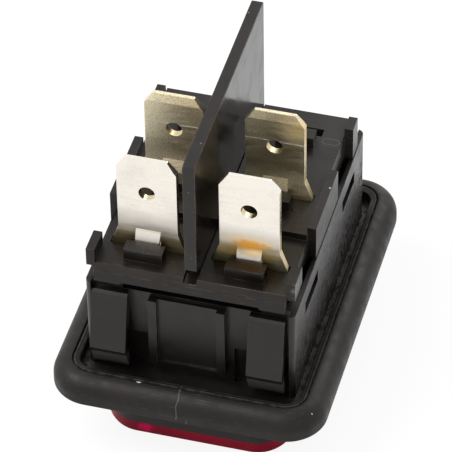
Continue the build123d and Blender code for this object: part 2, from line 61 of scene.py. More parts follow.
# ---- Housing ----
# The black body shell and bezel are one nylon moulding, with spring wings and ribs on the ends.
# It comes out of the tool satin, with slightly rounded edges, and its long walls carry
# a pale rubbed residue and grit from being pushed through the panel.

def clear_selection():
    """Leave edit mode and deselect everything."""
    if bpy.context.object and bpy.context.object.mode != "OBJECT":
        bpy.ops.object.mode_set(mode="OBJECT")
    bpy.ops.object.select_all(action="DESELECT")


def shade_like_moulding(mesh, rounded):
    """Broad faces reflect as planes; rounded corners and curves run smoothly into them."""
    broad_area = 1.5e-7
    same_curve = math.cos(math.radians(32.0))
    same_plane = 0.9998
    faces = mesh.polygons
    firm = {face.index for face in faces if face.area > broad_area and face.index not in rounded}
    around = [[] for vertex in mesh.vertices]
    for face in faces:
        for vertex in face.vertices:
            around[vertex].append(face.index)
    normals = []
    for face in faces:
        for vertex in face.vertices:
            if face.index in firm:
                normals.append(face.normal)
                continue
            near = [faces[index] for index in around[vertex]
                    if faces[index].normal.dot(face.normal) > same_curve]
            broad = [other for other in near if other.index in firm]
            if broad:
                closest = max(broad, key=lambda other: other.normal.dot(face.normal))
                normals.append(closest.normal)
                continue
            kept = []
            for other in [other for other in near if other.index not in rounded] or near:
                if all(other.normal.dot(seen) < same_plane for seen in kept):
                    kept.append(other.normal)
            normals.append(sum(kept, mathutils.Vector()).normalized())
    mesh.shade_smooth()
    mesh.normals_split_custom_set(normals)


def rounded_moulding(node, name, radius, steps=2, sharp=38):
    """Copy of a CAD node with its corners rounded, and a "corner" record of where they are."""
    weld_gap = 2e-6
    flat_angle = math.radians(0.6)
    clear_selection()
    piece = bpy.data.objects.new(name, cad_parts[node].data.copy())
    bpy.context.scene.collection.objects.link(piece)
    bpy.context.view_layer.objects.active = piece
    piece.select_set(True)
    bpy.ops.object.mode_set(mode="EDIT")
    bpy.ops.mesh.select_all(action="SELECT")
    bpy.ops.mesh.remove_doubles(threshold=weld_gap)
    bpy.ops.mesh.dissolve_limited(angle_limit=flat_angle)
    bpy.ops.mesh.vert_connect_concave()
    bpy.ops.object.mode_set(mode="OBJECT")
    # The second of two empty slots marks the faces that the bevel makes.
    piece.data.materials.clear()
    piece.data.materials.append(None)
    piece.data.materials.append(None)
    bevel = piece.modifiers.new("rounding", "BEVEL")
    bevel.width = radius
    bevel.segments = steps
    bevel.limit_method = "ANGLE"
    bevel.angle_limit = math.radians(sharp)
    bevel.material = 1
    bevel.use_clamp_overlap = True
    bevel.miter_outer = "MITER_ARC"
    bpy.ops.object.modifier_apply(modifier=bevel.name)
    corner = piece.data.attributes.new("corner", "FLOAT", "CORNER")
    rounded = {face.index for face in piece.data.polygons if face.material_index == 1}
    for face in piece.data.polygons:
        for loop in face.loop_indices:
            corner.data[loop].value = float(face.index in rounded)
        face.material_index = 0
    piece.data.materials.pop()
    shade_like_moulding(piece.data, rounded)
    clear_selection()
    return piece


def shader_group(name, inputs, outputs):
    """Empty node group with named inputs and outputs, and its two end nodes."""
    group = bpy.data.node_groups.new(name, "ShaderNodeTree")
    for label, kind, value in inputs:
        socket = group.interface.new_socket(name=label, in_out="INPUT", socket_type=kind)
        socket.default_value = value
    for label, kind in outputs:
        group.interface.new_socket(name=label, in_out="OUTPUT", socket_type=kind)
    start = group.nodes.new("NodeGroupInput")
    end = group.nodes.new("NodeGroupOutput")
    return group, start, end


def put(tree, kind, settings=(), **values):
    """New node with its settings and unlinked socket values."""
    node = tree.nodes.new(kind)
    for key, value in dict(settings).items():
        setattr(node, key, value)
    for key, value in values.items():
        node.inputs[key.replace("_", " ")].default_value = value
    return node


def arithmetic(tree, operation, *terms):
    """Math node whose inputs are sockets or numbers."""
    node = put(tree, "ShaderNodeMath", {"operation": operation})
    for index, term in enumerate(terms):
        if isinstance(term, (int, float)):
            node.inputs[index].default_value = term
        else:
            tree.links.new(term, node.inputs[index])
    return node.outputs[0]


def product(tree, first, *others):
    """Product of sockets and numbers."""
    for other in others:
        first = arithmetic(tree, "MULTIPLY", first, other)
    return first


def blended(tree, factor, first, second):
    """Colour mix whose inputs are sockets or colours."""
    node = put(tree, "ShaderNodeMix", {"data_type": "RGBA"})
    for index, value in ((0, factor), (6, first), (7, second)):
        if hasattr(value, "node"):
            tree.links.new(value, node.inputs[index])
        else:
            node.inputs[index].default_value = value
    return node.outputs[2]


def toned(colour, share):
    """A colour made lighter or darker."""
    return tuple(share * channel for channel in colour[:3]) + (1,)


def fade(tree, value, low, high, start=0.0, end=1.0):
    """Map a value between two limits onto another range, smoothly and clamped."""
    node = put(tree, "ShaderNodeMapRange", {"interpolation_type": "SMOOTHSTEP"},
               From_Min=low, From_Max=high, To_Min=start, To_Max=end)
    tree.links.new(value, node.inputs["Value"])
    return node.outputs["Result"]


def cloud(tree, vector, scale, detail=3.0, roughness=0.55, stretch=None):
    """Noise texture in object space, optionally stretched along an axis."""
    if stretch:
        mapping = put(tree, "ShaderNodeMapping", Scale=stretch)
        tree.links.new(vector, mapping.inputs["Vector"])
        vector = mapping.outputs[0]
    node = put(tree, "ShaderNodeTexNoise", Scale=scale, Detail=detail, Roughness=roughness)
    tree.links.new(vector, node.inputs["Vector"])
    return node.outputs["Fac"]


def split(tree, place):
    """The x, y and z of a place."""
    axes = put(tree, "ShaderNodeSeparateXYZ")
    tree.links.new(place, axes.inputs[0])
    return axes.outputs["X"], axes.outputs["Y"], axes.outputs["Z"]


def new_material(name):
    """Material with its node tree, its Principled shader and the place in object coordinates."""
    material = bpy.data.materials.new(name)
    material.use_nodes = True
    tree = material.node_tree
    place = put(tree, "ShaderNodeTexCoord").outputs["Object"]
    return material, tree, tree.nodes["Principled BSDF"], place


def masked(tree, group, place, **values):
    """Mask of a shared effect laid over a material."""
    node = put(tree, "ShaderNodeGroup", {"node_tree": group}, **values)
    tree.links.new(place, node.inputs["Vector"])
    return node.outputs["Mask"]


def add_relief(tree, surface, height, strength, distance):
    """Fine relief of the surface from a height."""
    bump = put(tree, "ShaderNodeBump", Strength=strength, Distance=distance)
    tree.links.new(height, bump.inputs["Height"])
    tree.links.new(bump.outputs["Normal"], surface.inputs["Normal"])


# Mould grain: a fine spark-eroded texture and slow changes of sheen.
mould_grain, grain_in, grain_out = shader_group(
    "mould_grain",
    [("Vector", "NodeSocketVector", (0, 0, 0)), ("Fineness", "NodeSocketFloat", 9000.0)],
    [("Height", "NodeSocketFloat"), ("Sheen", "NodeSocketFloat")])
fine = put(mould_grain, "ShaderNodeTexNoise", Detail=2.0, Roughness=0.6)
mould_grain.links.new(grain_in.outputs["Vector"], fine.inputs["Vector"])
mould_grain.links.new(grain_in.outputs["Fineness"], fine.inputs["Scale"])
mould_grain.links.new(fine.outputs["Fac"], grain_out.inputs["Height"])
slow = cloud(mould_grain, grain_in.outputs["Vector"], 260.0, 4.0, 0.6)
mould_grain.links.new(fade(mould_grain, slow, 0.3, 0.7), grain_out.inputs["Sheen"])

# Corner wear and highlight: a mask of the rounded corners, broken up by noise, for where they are
# rubbed and where a highlight along the edges is painted.
corner_wear_and_highlight, corner_in, corner_out = shader_group(
    "corner_wear_and_highlight",
    [("Vector", "NodeSocketVector", (0, 0, 0)), ("Amount", "NodeSocketFloat", 0.5)],
    [("Mask", "NodeSocketFloat")])
corners = put(corner_wear_and_highlight, "ShaderNodeAttribute", {"attribute_name": "corner"}).outputs["Fac"]
broken = fade(corner_wear_and_highlight, cloud(corner_wear_and_highlight, corner_in.outputs["Vector"], 900.0, 4.0), 0.42, 0.62)
corner_wear_and_highlight.links.new(product(corner_wear_and_highlight, corners, broken, corner_in.outputs["Amount"]),
                      corner_out.inputs["Mask"])

# Dust: sparse pale specks of different sizes and strengths, one to a cell of the surface.
largest_speck = 0.16
faintest_speck = 0.15
dust_specks, dust_in, dust_out = shader_group(
    "dust_specks",
    [("Vector", "NodeSocketVector", (0, 0, 0)), ("Density", "NodeSocketFloat", 0.5),
     ("Scale", "NodeSocketFloat", 1400.0)],
    [("Mask", "NodeSocketFloat")])
cells = put(dust_specks, "ShaderNodeTexVoronoi", Randomness=1.0)
dust_specks.links.new(dust_in.outputs["Vector"], cells.inputs["Vector"])
dust_specks.links.new(dust_in.outputs["Scale"], cells.inputs["Scale"])
draws = put(dust_specks, "ShaderNodeSeparateColor")
dust_specks.links.new(cells.outputs["Color"], draws.inputs[0])
chosen = arithmetic(dust_specks, "LESS_THAN", draws.outputs[0], dust_in.outputs["Density"])
size = product(dust_specks, draws.outputs[1], largest_speck)
inside = arithmetic(dust_specks, "LESS_THAN", cells.outputs["Distance"], size)
faint = fade(dust_specks, draws.outputs[2], 0.0, 1.0, faintest_speck, 1.0)
dust_specks.links.new(product(dust_specks, chosen, inside, faint), dust_out.inputs["Mask"])

# Scuffs: short fine scratches that run along one axis, in patches.
fine_scuffs, scuff_in, scuff_out = shader_group(
    "fine_scuffs",
    [("Vector", "NodeSocketVector", (0, 0, 0)), ("Stretch", "NodeSocketVector", (0.05, 1.0, 1.0)),
     ("Amount", "NodeSocketFloat", 0.5)],
    [("Mask", "NodeSocketFloat")])
drawn = put(fine_scuffs, "ShaderNodeMapping")
fine_scuffs.links.new(scuff_in.outputs["Vector"], drawn.inputs["Vector"])
fine_scuffs.links.new(scuff_in.outputs["Stretch"], drawn.inputs["Scale"])
strokes = fade(fine_scuffs, cloud(fine_scuffs, drawn.outputs[0], 6500.0, 3.0, 0.65), 0.60, 0.70)
where = fade(fine_scuffs, cloud(fine_scuffs, scuff_in.outputs["Vector"], 420.0, 3.0), 0.42, 0.62)
fine_scuffs.links.new(product(fine_scuffs, strokes, where, scuff_in.outputs["Amount"]),
                      scuff_out.inputs["Mask"])


def black_plastic(name, colour, roughness, grain_height, fineness, wear_and_highlight, dust, scuffs=0.3):
    """Moulded black plastic: grain, uneven sheen, corners paler from rubbing and from a painted
    highlight, fine scuffs and specks of dust.
    """
    corner_wear_highlight_grey = (0.060, 0.055, 0.050, 1)
    scuff_grey = (0.075, 0.068, 0.060, 1)
    dust_grey = (0.22, 0.21, 0.19, 1)
    material, tree, surface, place = new_material(name)
    grain = put(tree, "ShaderNodeGroup", {"node_tree": mould_grain}, Fineness=fineness)
    tree.links.new(place, grain.inputs["Vector"])
    rubbed_and_lit = masked(tree, corner_wear_and_highlight, place, Amount=wear_and_highlight)
    body = blended(tree, grain.outputs["Sheen"], colour, toned(colour, 1.4))
    # Paler corners: partly rubbing, partly a painted highlight along the edges.
    body = blended(tree, rubbed_and_lit, body, corner_wear_highlight_grey)
    body = blended(tree, masked(tree, fine_scuffs, place, Amount=scuffs), body, scuff_grey)
    body = blended(tree, masked(tree, dust_specks, place, Density=dust), body, dust_grey)
    tree.links.new(body, surface.inputs["Base Color"])
    sheen = fade(tree, grain.outputs["Sheen"], 0.0, 1.0, roughness - 0.05, roughness + 0.07)
    tree.links.new(arithmetic(tree, "SUBTRACT", sheen, product(tree, rubbed_and_lit, 0.1)),
                   surface.inputs["Roughness"])
    add_relief(tree, surface, grain.outputs["Height"], 0.35, grain_height)
    surface.inputs["Specular IOR Level"].default_value = 0.42
    surface.inputs["Specular Tint"].default_value = (1.0, 0.95, 0.925, 1)
    return material, tree, surface, place, body


def finish_piece(piece, body, material, node):
    """Give a piece its material and body, and hide the CAD node that it stands for."""
    piece.data.materials.clear()
    piece.data.materials.append(material)
    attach(piece, body)
    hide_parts(node)


housing_black = (0.0072, 0.0058, 0.0052, 1)
bloom_grey = (0.110, 0.112, 0.120, 1)
wing_end_painted_light = (0.060, 0.055, 0.052, 1)
grit_white = (0.72, 0.69, 0.65, 1)
long_wall = 0.01101
wall_foot = 0.0010
wall_top = 0.0085
wing_end_top = 0.00175
wing_end_reach = 0.0151
wing_end_foot = -0.0003

housing_plastic, tree, surface, place, body = black_plastic(
    "housing_plastic", housing_black, roughness=0.33, grain_height=0.00002, fineness=9000.0,
    wear_and_highlight=0.95, dust=0.02)
x, y, z = split(tree, place)
along = arithmetic(tree, "ABSOLUTE", y)

# Pale bloom on the upper part of the two long walls, strongest in the middle.
on_wall = fade(tree, arithmetic(tree, "ABSOLUTE", x), long_wall - 0.00003, long_wall + 0.00003)
upper = fade(tree, z, wall_foot, wall_top)
middle = fade(tree, along, 0.016, 0.002, 0.45, 1.0)
smear = fade(tree, cloud(tree, place, 900.0, 8.0, 0.8), 0.40, 0.60, 0.10, 1.0)
body = blended(tree, product(tree, upper, middle, smear, on_wall, 0.6), body, bloom_grey)

# The inturned ends of the wings, where they pass through the panel, are painted paler: painted light
# in their shade between wing and body.
inturned = product(
    tree, fade(tree, z, wing_end_top + 0.0001, wing_end_top - 0.0001),
    fade(tree, z, wing_end_foot - 0.0001, wing_end_foot + 0.0001),
    fade(tree, along, wing_end_reach - 0.00005, wing_end_reach + 0.00005))
body = blended(tree, inturned, body, wing_end_painted_light)

# Pale crumbs of grit on the long walls, and blots in which it dulls their lower part.
crumbs = masked(tree, dust_specks, place, Density=0.7, Scale=2600.0)
crumbled = fade(tree, cloud(tree, place, 600.0, 4.0), 0.40, 0.54)
body = blended(tree, product(tree, crumbs, crumbled, on_wall), body, grit_white)
tree.links.new(body, surface.inputs["Base Color"])
blots = fade(tree, cloud(tree, place, 1300.0, 6.0, 0.75), 0.47, 0.56)
lower = fade(tree, z, wall_top, 0.0035)
satin = surface.inputs["Roughness"].links[0].from_socket
dulled = arithmetic(tree, "MULTIPLY_ADD", product(tree, blots, on_wall, lower), 0.5, satin)
tree.links.new(dulled, surface.inputs["Roughness"])

housing_shell = rounded_moulding("housing", "housing_shell", radius=0.00012)
finish_piece(housing_shell, "switch_body", housing_plastic, "housing")


# ---- Rubber sealing frame ----
# A soft black rubber frame wraps the bezel and seals the panel with two thin lips.
# It is moulded in one piece, matt, with a faint flash line where the mould halves met.

# Spot: a soft oval patch about a point, for a stain or a rubbed place.
soft_spot, spot_in, spot_out = shader_group(
    "soft_spot",
    [("Vector", "NodeSocketVector", (0, 0, 0)), ("Centre", "NodeSocketVector", (0, 0, 0)),
     ("Reach", "NodeSocketVector", (0.001, 0.001, 0.001)), ("Ragged", "NodeSocketFloat", 0.5),
     ("Core", "NodeSocketFloat", 0.35)],
    [("Mask", "NodeSocketFloat")])
away = put(soft_spot, "ShaderNodeVectorMath", {"operation": "SUBTRACT"})
soft_spot.links.new(spot_in.outputs["Vector"], away.inputs[0])
soft_spot.links.new(spot_in.outputs["Centre"], away.inputs[1])
scaled = put(soft_spot, "ShaderNodeVectorMath", {"operation": "DIVIDE"})
soft_spot.links.new(away.outputs[0], scaled.inputs[0])
soft_spot.links.new(spot_in.outputs["Reach"], scaled.inputs[1])
extent = put(soft_spot, "ShaderNodeVectorMath", {"operation": "LENGTH"})
soft_spot.links.new(scaled.outputs[0], extent.inputs[0])
ragged_edge = arithmetic(soft_spot, "SUBTRACT",
                         cloud(soft_spot, spot_in.outputs["Vector"], 1500.0, 4.0), 0.5)
uneven = product(soft_spot, ragged_edge, spot_in.outputs["Ragged"])
inner = put(soft_spot, "ShaderNodeMapRange", {"interpolation_type": "SMOOTHSTEP"}, From_Min=1.0)
soft_spot.links.new(arithmetic(soft_spot, "ADD", extent.outputs["Value"], uneven),
                    inner.inputs["Value"])
soft_spot.links.new(spot_in.outputs["Core"], inner.inputs["From Max"])
soft_spot.links.new(inner.outputs["Result"], spot_out.inputs["Mask"])


def spot(tree, place, centre, reach, ragged=0.6, core=0.35):
    """Mask of one soft patch, full within core of its reach."""
    return masked(tree, soft_spot, place, Centre=centre, Reach=reach, Ragged=ragged, Core=core)


def line_at(tree, value, centre, edge, core):
    """Mask of a line where a value is near its centre: full within core, gone past edge."""
    off = arithmetic(tree, "ABSOLUTE", arithmetic(tree, "SUBTRACT", value, centre))
    return fade(tree, off, edge, core)


def distance(tree, x, y):
    """Length of a step along x and y."""
    step = put(tree, "ShaderNodeCombineXYZ")
    for index, part in enumerate((x, y)):
        tree.links.new(part, step.inputs[index])
    length = put(tree, "ShaderNodeVectorMath", {"operation": "LENGTH"})
    tree.links.new(step.outputs[0], length.inputs[0])
    return length.outputs["Value"]


rubber_black = (0.0058, 0.0048, 0.0042, 1)
rubber_grey = (0.0120, 0.0102, 0.0092, 1)
rubbed_rubber = (0.060, 0.055, 0.050, 1)
scuffed_rubber = (0.075, 0.068, 0.060, 1)
crest_highlight_grey = (0.115, 0.105, 0.096, 1)
trough_shade_black = (0.002, 0.0017, 0.0015, 1)
flash_grey = (0.085, 0.080, 0.068, 1)
rubber_dust = (0.24, 0.23, 0.21, 1)
corner_x = 0.01025
corner_y = 0.01515
outer_lip = 0.00213
inner_lip = 0.00173
trough_reach = 0.0020
frame_front = -0.0170
fade_out = 0.0002

# Each length of the flash line has its place across, its top and its bottom; each larger speck
# has its centre, its reach and its brightness.
flash_lengths = [(-0.00032, 0.0010, -0.0026), (0.00075, -0.0022, -0.0046)]
larger_specks = [((-0.00477, -0.01754, 0), (0.00032, 0.00016, 0.0004), 0.85),
                 ((-0.00614, -0.01738, 0), (0.00012, 0.00012, 0.0004), 0.25),
                 ((0.01344, -0.01701, -0.0005), (0.00010, 0.00010, 0.0004), 0.6)]

rubber, tree, surface, place = new_material("sealing_rubber")
x, y, z = split(tree, place)
cloudy = fade(tree, cloud(tree, place, 180.0, 5.0, 0.65), 0.35, 0.75)
body = blended(tree, cloudy, rubber_black, rubber_grey)
body = blended(tree, masked(tree, corner_wear_and_highlight, place, Amount=0.8), body, rubbed_rubber)
scuffed = masked(tree, fine_scuffs, place, Stretch=(0.12, 0.35, 1.0), Amount=0.45)
body = blended(tree, scuffed, body, scuffed_rubber)

# Painted highlight along the crests of the lips, broken up by noise, and painted shade in the trough
# inside them.
past_x = arithmetic(tree, "SUBTRACT", arithmetic(tree, "ABSOLUTE", x), corner_x)
past_y = arithmetic(tree, "SUBTRACT", arithmetic(tree, "ABSOLUTE", y), corner_y)
outside = distance(tree, arithmetic(tree, "MAXIMUM", past_x, 0),
                   arithmetic(tree, "MAXIMUM", past_y, 0))
within = arithmetic(tree, "MINIMUM", arithmetic(tree, "MAXIMUM", past_x, past_y), 0)
reach = arithmetic(tree, "ADD", outside, within)
panel_side = fade(tree, z, -0.0006, -0.0004)
crest_breakup = fade(tree, cloud(tree, place, 1100.0, 4.0), 0.38, 0.60, 0.25, 1.0)
for lip, strength in ((outer_lip, 0.9), (inner_lip, 0.7)):
    crest = line_at(tree, reach, lip, edge=0.00014, core=0.00005)
    body = blended(tree, product(tree, crest, crest_breakup, panel_side, strength), body, crest_highlight_grey)
# Painted shade: the trough between the lips and the wall is darkened.
trough_shade = fade(tree, reach, trough_reach + 0.00005, trough_reach - 0.00005)
body = blended(tree, product(tree, trough_shade, panel_side, 0.6), body, trough_shade_black)

# Flash line down the front: it wanders across the joint of the mould and starts again lower.
wander = arithmetic(tree, "MULTIPLY_ADD", cloud(tree, place, 900.0, 2.0), 0.0007, -0.00035)
wandering = arithmetic(tree, "ADD", x, wander)
front = fade(tree, y, frame_front + 0.00010, frame_front - 0.00005)
seams = [product(tree, line_at(tree, wandering, centre, edge=0.00009, core=0.00003), front,
                 fade(tree, z, top, top - fade_out), fade(tree, z, bottom, bottom + fade_out))
         for centre, top, bottom in flash_lengths]
flash = arithmetic(tree, "MAXIMUM", *seams)
body = blended(tree, flash, body, flash_grey)

# Dust, and three larger specks on the front and its right-hand corner.
specks = masked(tree, dust_specks, place, Density=0.05, Scale=900.0)
body = blended(tree, specks, body, rubber_dust)
for centre, size, pale in larger_specks:
    off_white = (pale, 0.98 * pale, 0.95 * pale, 1)
    body = blended(tree, spot(tree, place, centre, size), body, off_white)
tree.links.new(body, surface.inputs["Base Color"])
tree.links.new(fade(tree, cloud(tree, place, 700.0, 4.0), 0.3, 0.7, 0.42, 0.58),
               surface.inputs["Roughness"])
surface.inputs["Specular IOR Level"].default_value = 0.32
surface.inputs["Specular Tint"].default_value = (1.0, 0.95, 0.925, 1)
raised = arithmetic(tree, "MULTIPLY_ADD", flash, 2.0, cloud(tree, place, 5200.0, 3.0))
add_relief(tree, surface, raised, 0.4, 0.00003)

rubber_frame = rounded_moulding("sealing_frame", "rubber_frame", radius=0.00008, sharp=30)
finish_piece(rubber_frame, "switch_body", rubber, "sealing_frame")


# ---- Terminal base ----
# The cover over the body is moulded in black nylon and carries the blades in slots.
# It snaps into the windows of the long walls, with fins at its sides and a boss before each slot.

base_black = (0.0066, 0.0050, 0.0040, 1)
rear_light_grey = (0.032, 0.029, 0.027, 1)
fin_grey = (0.10, 0.097, 0.093, 1)
speck_white = (0.85, 0.83, 0.80, 1)
mark_grey = (0.11, 0.105, 0.10, 1)
fin_rub = (0.0109, -0.0137, 0.0135)
fin_speck = (0.01077, 0.00077, 0.01435)
mark_x = 0.0089
mark_y = 0.0086
mark_half_straight = 0.0005
mark_radius = 0.00042
base_top = 0.0135

base_plastic, tree, surface, place, body = black_plastic(
    "base_plastic", base_black, roughness=0.30, grain_height=0.00002, fineness=7000.0,
    wear_and_highlight=0.9, dust=0.03, scuffs=0.7)
surface.inputs["Specular IOR Level"].default_value = 0.32
x, y, z = split(tree, place)

# Painted reflection: greyer towards the far end and the right-hand side, where the tops catch light
# from behind.
rear_light = fade(tree, arithmetic(tree, "ADD", y, product(tree, x, 0.8)), -0.002, 0.016)
patchy = fade(tree, cloud(tree, place, 260.0, 5.0, 0.6), 0.25, 0.75, 0.5, 1.0)
body = blended(tree, product(tree, rear_light, patchy), body, rear_light_grey)

# Rubbed pale on the fin at the near right-hand corner, and one white speck further back.
body = blended(tree, spot(tree, place, fin_rub, (0.0006, 0.0011, 0.0011), ragged=2.2), body,
               fin_grey)
body = blended(tree, spot(tree, place, fin_speck, (0.00013, 0.00013, 0.0004)), body, speck_white)

# Oval witness mark of an ejector beside the empty row of slots.
across = arithmetic(tree, "ABSOLUTE", arithmetic(tree, "SUBTRACT", x, mark_x))
across = arithmetic(tree, "SUBTRACT", across, mark_half_straight)
from_mark = distance(tree, arithmetic(tree, "MAXIMUM", across, 0),
                     arithmetic(tree, "SUBTRACT", y, mark_y))
rim = product(tree, line_at(tree, from_mark, mark_radius, edge=0.00010, core=0.00003),
              fade(tree, z, base_top - 0.00010, base_top - 0.00001), 0.6)
body = blended(tree, rim, body, mark_grey)
tree.links.new(body, surface.inputs["Base Color"])

base_cover = rounded_moulding("terminal_base", "base_cover", radius=0.00010)
finish_piece(base_cover, "switch_body", base_plastic, "terminal_base")


# ---- Pole barrier ----
# A plain upright plate of black plastic between the poles, pressed into a slot of the base.
# It is smooth and glossy, and dusty on its broad sides.

barrier_black = (0.0085, 0.0068, 0.0058, 1)
barrier_plastic, *_ = black_plastic(
    "barrier_plastic", barrier_black, roughness=0.17, grain_height=0.00001, fineness=5000.0,
    wear_and_highlight=0.6, dust=0.50, scuffs=0.2)
barrier_plate = rounded_moulding("pole_barrier", "barrier_plate", radius=0.00010)
finish_piece(barrier_plate, "switch_body", barrier_plastic,
             "pole_barrier")


# ---- Blade terminals ----
# Four stamped brass blades, tinned bright, with a hole, clipped corners and a bevelled tip.
# Their shoulders flare where they enter the base, and a tab is lanced out to lock each one.

def stamped_metal(name, bright, tide_height, face, gloss, grit, stains, scratch=None):
    """Rolled and tinned sheet metal: rolling lines, a brown tide at the root that is partly stain
    and partly painted reflection, a dark painted reflection of the base below it, stains, a scratch.
    """
    tide_stain_and_reflection = (0.44, 0.34, 0.11, 1)
    root_reflection_dark = (0.10, 0.078, 0.028, 1)
    bare_brass = (0.72, 0.60, 0.36, 1)
    scratch_bright = (0.95, 0.92, 0.84, 1)
    edge_start = 0.00012
    edge_end = 0.00081
    tip_start = 0.0230
    material, tree, surface, place = new_material(name)
    _, y, z = split(tree, place)
    rolled = cloud(tree, place, 2600.0, 4.0, 0.6, (0.12, 1, 1))
    fleck = cloud(tree, place, 1900.0, 5.0, 0.7, (0.5, 1, 1))

    # The tide is partly stain and partly a painted reflection of the dark base, and the root below
    # it is a dark painted reflection; both are on the blade and not on the tab, which stands out
    # from its face.
    wander = arithmetic(tree, "MULTIPLY_ADD", rolled, 0.0018, -0.0009)
    height = arithmetic(tree, "ADD", z, wander)
    on_face = fade(tree, y, face - 0.00010, face - 0.00004)
    tide_and_reflection = product(
        tree, fade(tree, height, tide_height + 0.0006, tide_height - 0.0012, 0.0, 0.85), on_face)
    root_reflection = product(
        tree, fade(tree, height, tide_height - 0.0003, tide_height - 0.0021, 0.0, 0.75), on_face)
    body = blended(tree, tide_and_reflection, bright, tide_stain_and_reflection)
    body = blended(tree, root_reflection, body, root_reflection_dark)
    tarnish = fade(tree, cloud(tree, place, 330.0, 5.0), 0.45, 0.75, 0.0, 0.3)
    body = blended(tree, tarnish, body, toned(bright, 0.72))
    grain = fade(tree, cloud(tree, place, 6500.0, 2.0, 0.6), 0.46, 0.62, 0.0, 0.16 * grit)
    body = blended(tree, grain, body, toned(bright, 0.42))

    # The punched edges and the wall of the hole show the bare brass of the strip, below the tip.
    punched = product(tree, fade(tree, y, face + edge_start - 0.00003, face + edge_start + 0.00003),
                      fade(tree, y, face + edge_end + 0.00003, face + edge_end - 0.00003),
                      fade(tree, z, tip_start + 0.0001, tip_start - 0.0001))
    body = blended(tree, punched, body, bare_brass)

    # Stains cover the metal and dull it.
    dull = None
    for centre, reach, core, tint in stains:
        mask = spot(tree, place, centre, reach, core=core)
        body = blended(tree, mask, body, tint)
        dull = mask if dull is None else arithmetic(tree, "MAXIMUM", dull, mask)
    sheen = fade(tree, rolled, 0.3, 0.7, gloss, gloss + 0.12)
    sheen = arithmetic(tree, "ADD", sheen, fade(tree, fleck, 0.52, 0.75, 0.0, 0.10))
    sheen = arithmetic(tree, "MULTIPLY_ADD", tide_and_reflection, 0.10, sheen)
    matt_root = fade(tree, height, tide_height + 0.0032, tide_height + 0.0014, 0.0, 0.16)
    sheen = arithmetic(tree, "ADD", sheen, matt_root)
    surface.inputs["Metallic"].default_value = 1.0
    if dull is not None:
        sheen = arithmetic(tree, "MULTIPLY_ADD", dull, 0.25, sheen)
        tree.links.new(arithmetic(tree, "MULTIPLY_ADD", dull, -0.4, 1.0),
                       surface.inputs["Metallic"])

    if scratch:
        bend = arithmetic(tree, "MULTIPLY_ADD", cloud(tree, place, 300.0), 0.0004, -0.0002)
        line = line_at(tree, arithmetic(tree, "ADD", z, bend), scratch, edge=0.00007, core=0.00002)
        line = product(tree, line, fade(tree, fleck, 0.35, 0.6, 0.35, 1.0))
        body = blended(tree, line, body, scratch_bright)
        sheen = arithmetic(tree, "MULTIPLY_ADD", line, 0.35, sheen)
    tree.links.new(body, surface.inputs["Base Color"])
    tree.links.new(sheen, surface.inputs["Roughness"])
    pitted = arithmetic(tree, "MULTIPLY_ADD", cloud(tree, place, 5200.0, 3.0, 0.7), grit, rolled)
    add_relief(tree, surface, pitted, 0.055, 0.00002)
    return material


tin = (0.93, 0.875, 0.79, 1)
yellow_tin = (0.95, 0.85, 0.61, 1)
amber = (1.0, 0.50, 0.08, 1)
pale_amber = (1.0, 0.78, 0.45, 1)
burnt = (0.42, 0.27, 0.06, 1)
gold = (0.74, 0.54, 0.17, 1)
front_face = -0.01085
middle_face = -0.00075
middle_tide_height = 0.0145
scratch_height = 0.0209

# Each stain has its centre, its reach, its core and its colour.
amber_stains = [((0.0053, -0.01080, 0.0160), (0.0044, 0.0005, 0.0014), 0.0, pale_amber),
                ((0.0050, -0.01080, 0.0147), (0.0048, 0.0005, 0.0016), 0.1, burnt),
                ((0.0055, -0.01082, 0.0156), (0.0028, 0.0005, 0.0009), 0.15, amber),
                ((0.0058, -0.0111, 0.0149), (0.0021, 0.0003, 0.0007), 0.3, pale_amber)]
gold_stain = [((0.0078, -0.0008, 0.0227), (0.0034, 0.003, 0.0026), -0.4, gold)]
blade_metals = {
    "front_left": stamped_metal(
        "front_left_metal", tin, 0.0152, front_face, gloss=0.17, grit=0.2, stains=[]),
    "front_right": stamped_metal(
        "front_right_metal", tin, 0.0153, front_face, gloss=0.17, grit=0.2, stains=amber_stains),
    "middle_left": stamped_metal(
        "middle_left_metal", yellow_tin, middle_tide_height, middle_face, gloss=0.33, grit=3.0,
        stains=[], scratch=scratch_height),
    "middle_right": stamped_metal(
        "middle_right_metal", yellow_tin, middle_tide_height, middle_face, gloss=0.31, grit=2.5,
        stains=gold_stain, scratch=scratch_height)}
for blade_place, metal in blade_metals.items():
    node = f"{blade_place}_terminal"
    blade = rounded_moulding(node, f"{node}_blade", radius=0.00006)
    finish_piece(blade, "switch_body", metal, node)


# ---- Contacts and arms ----
# Silver rivets meet when a seesaw arm of copper alloy is tipped by its plunger.
# The arm rocks on the foot of the middle terminal, which feeds it.

def plain_finish(name, colour, metallic, roughness, grain_scale, variation):
    """Small hidden part: one colour with mottling and a fine surface."""
    material, tree, surface, place = new_material(name)
    mottle = fade(tree, cloud(tree, place, 600.0, 4.0), 0.3, 0.7)
    tree.links.new(blended(tree, mottle, colour, toned(colour, 1 - variation)),
                   surface.inputs["Base Color"])
    surface.inputs["Metallic"].default_value = metallic
    grain = cloud(tree, place, grain_scale, 3.0)
    tree.links.new(fade(tree, grain, 0.3, 0.7, roughness - 0.06, roughness + 0.08),
                   surface.inputs["Roughness"])
    add_relief(tree, surface, grain, 0.2, 0.00002)
    return material


def dress(material, *nodes):
    """Give CAD nodes a material where they stand."""
    for node in nodes:
        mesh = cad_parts[node].data
        mesh.materials.clear()
        mesh.materials.append(material)


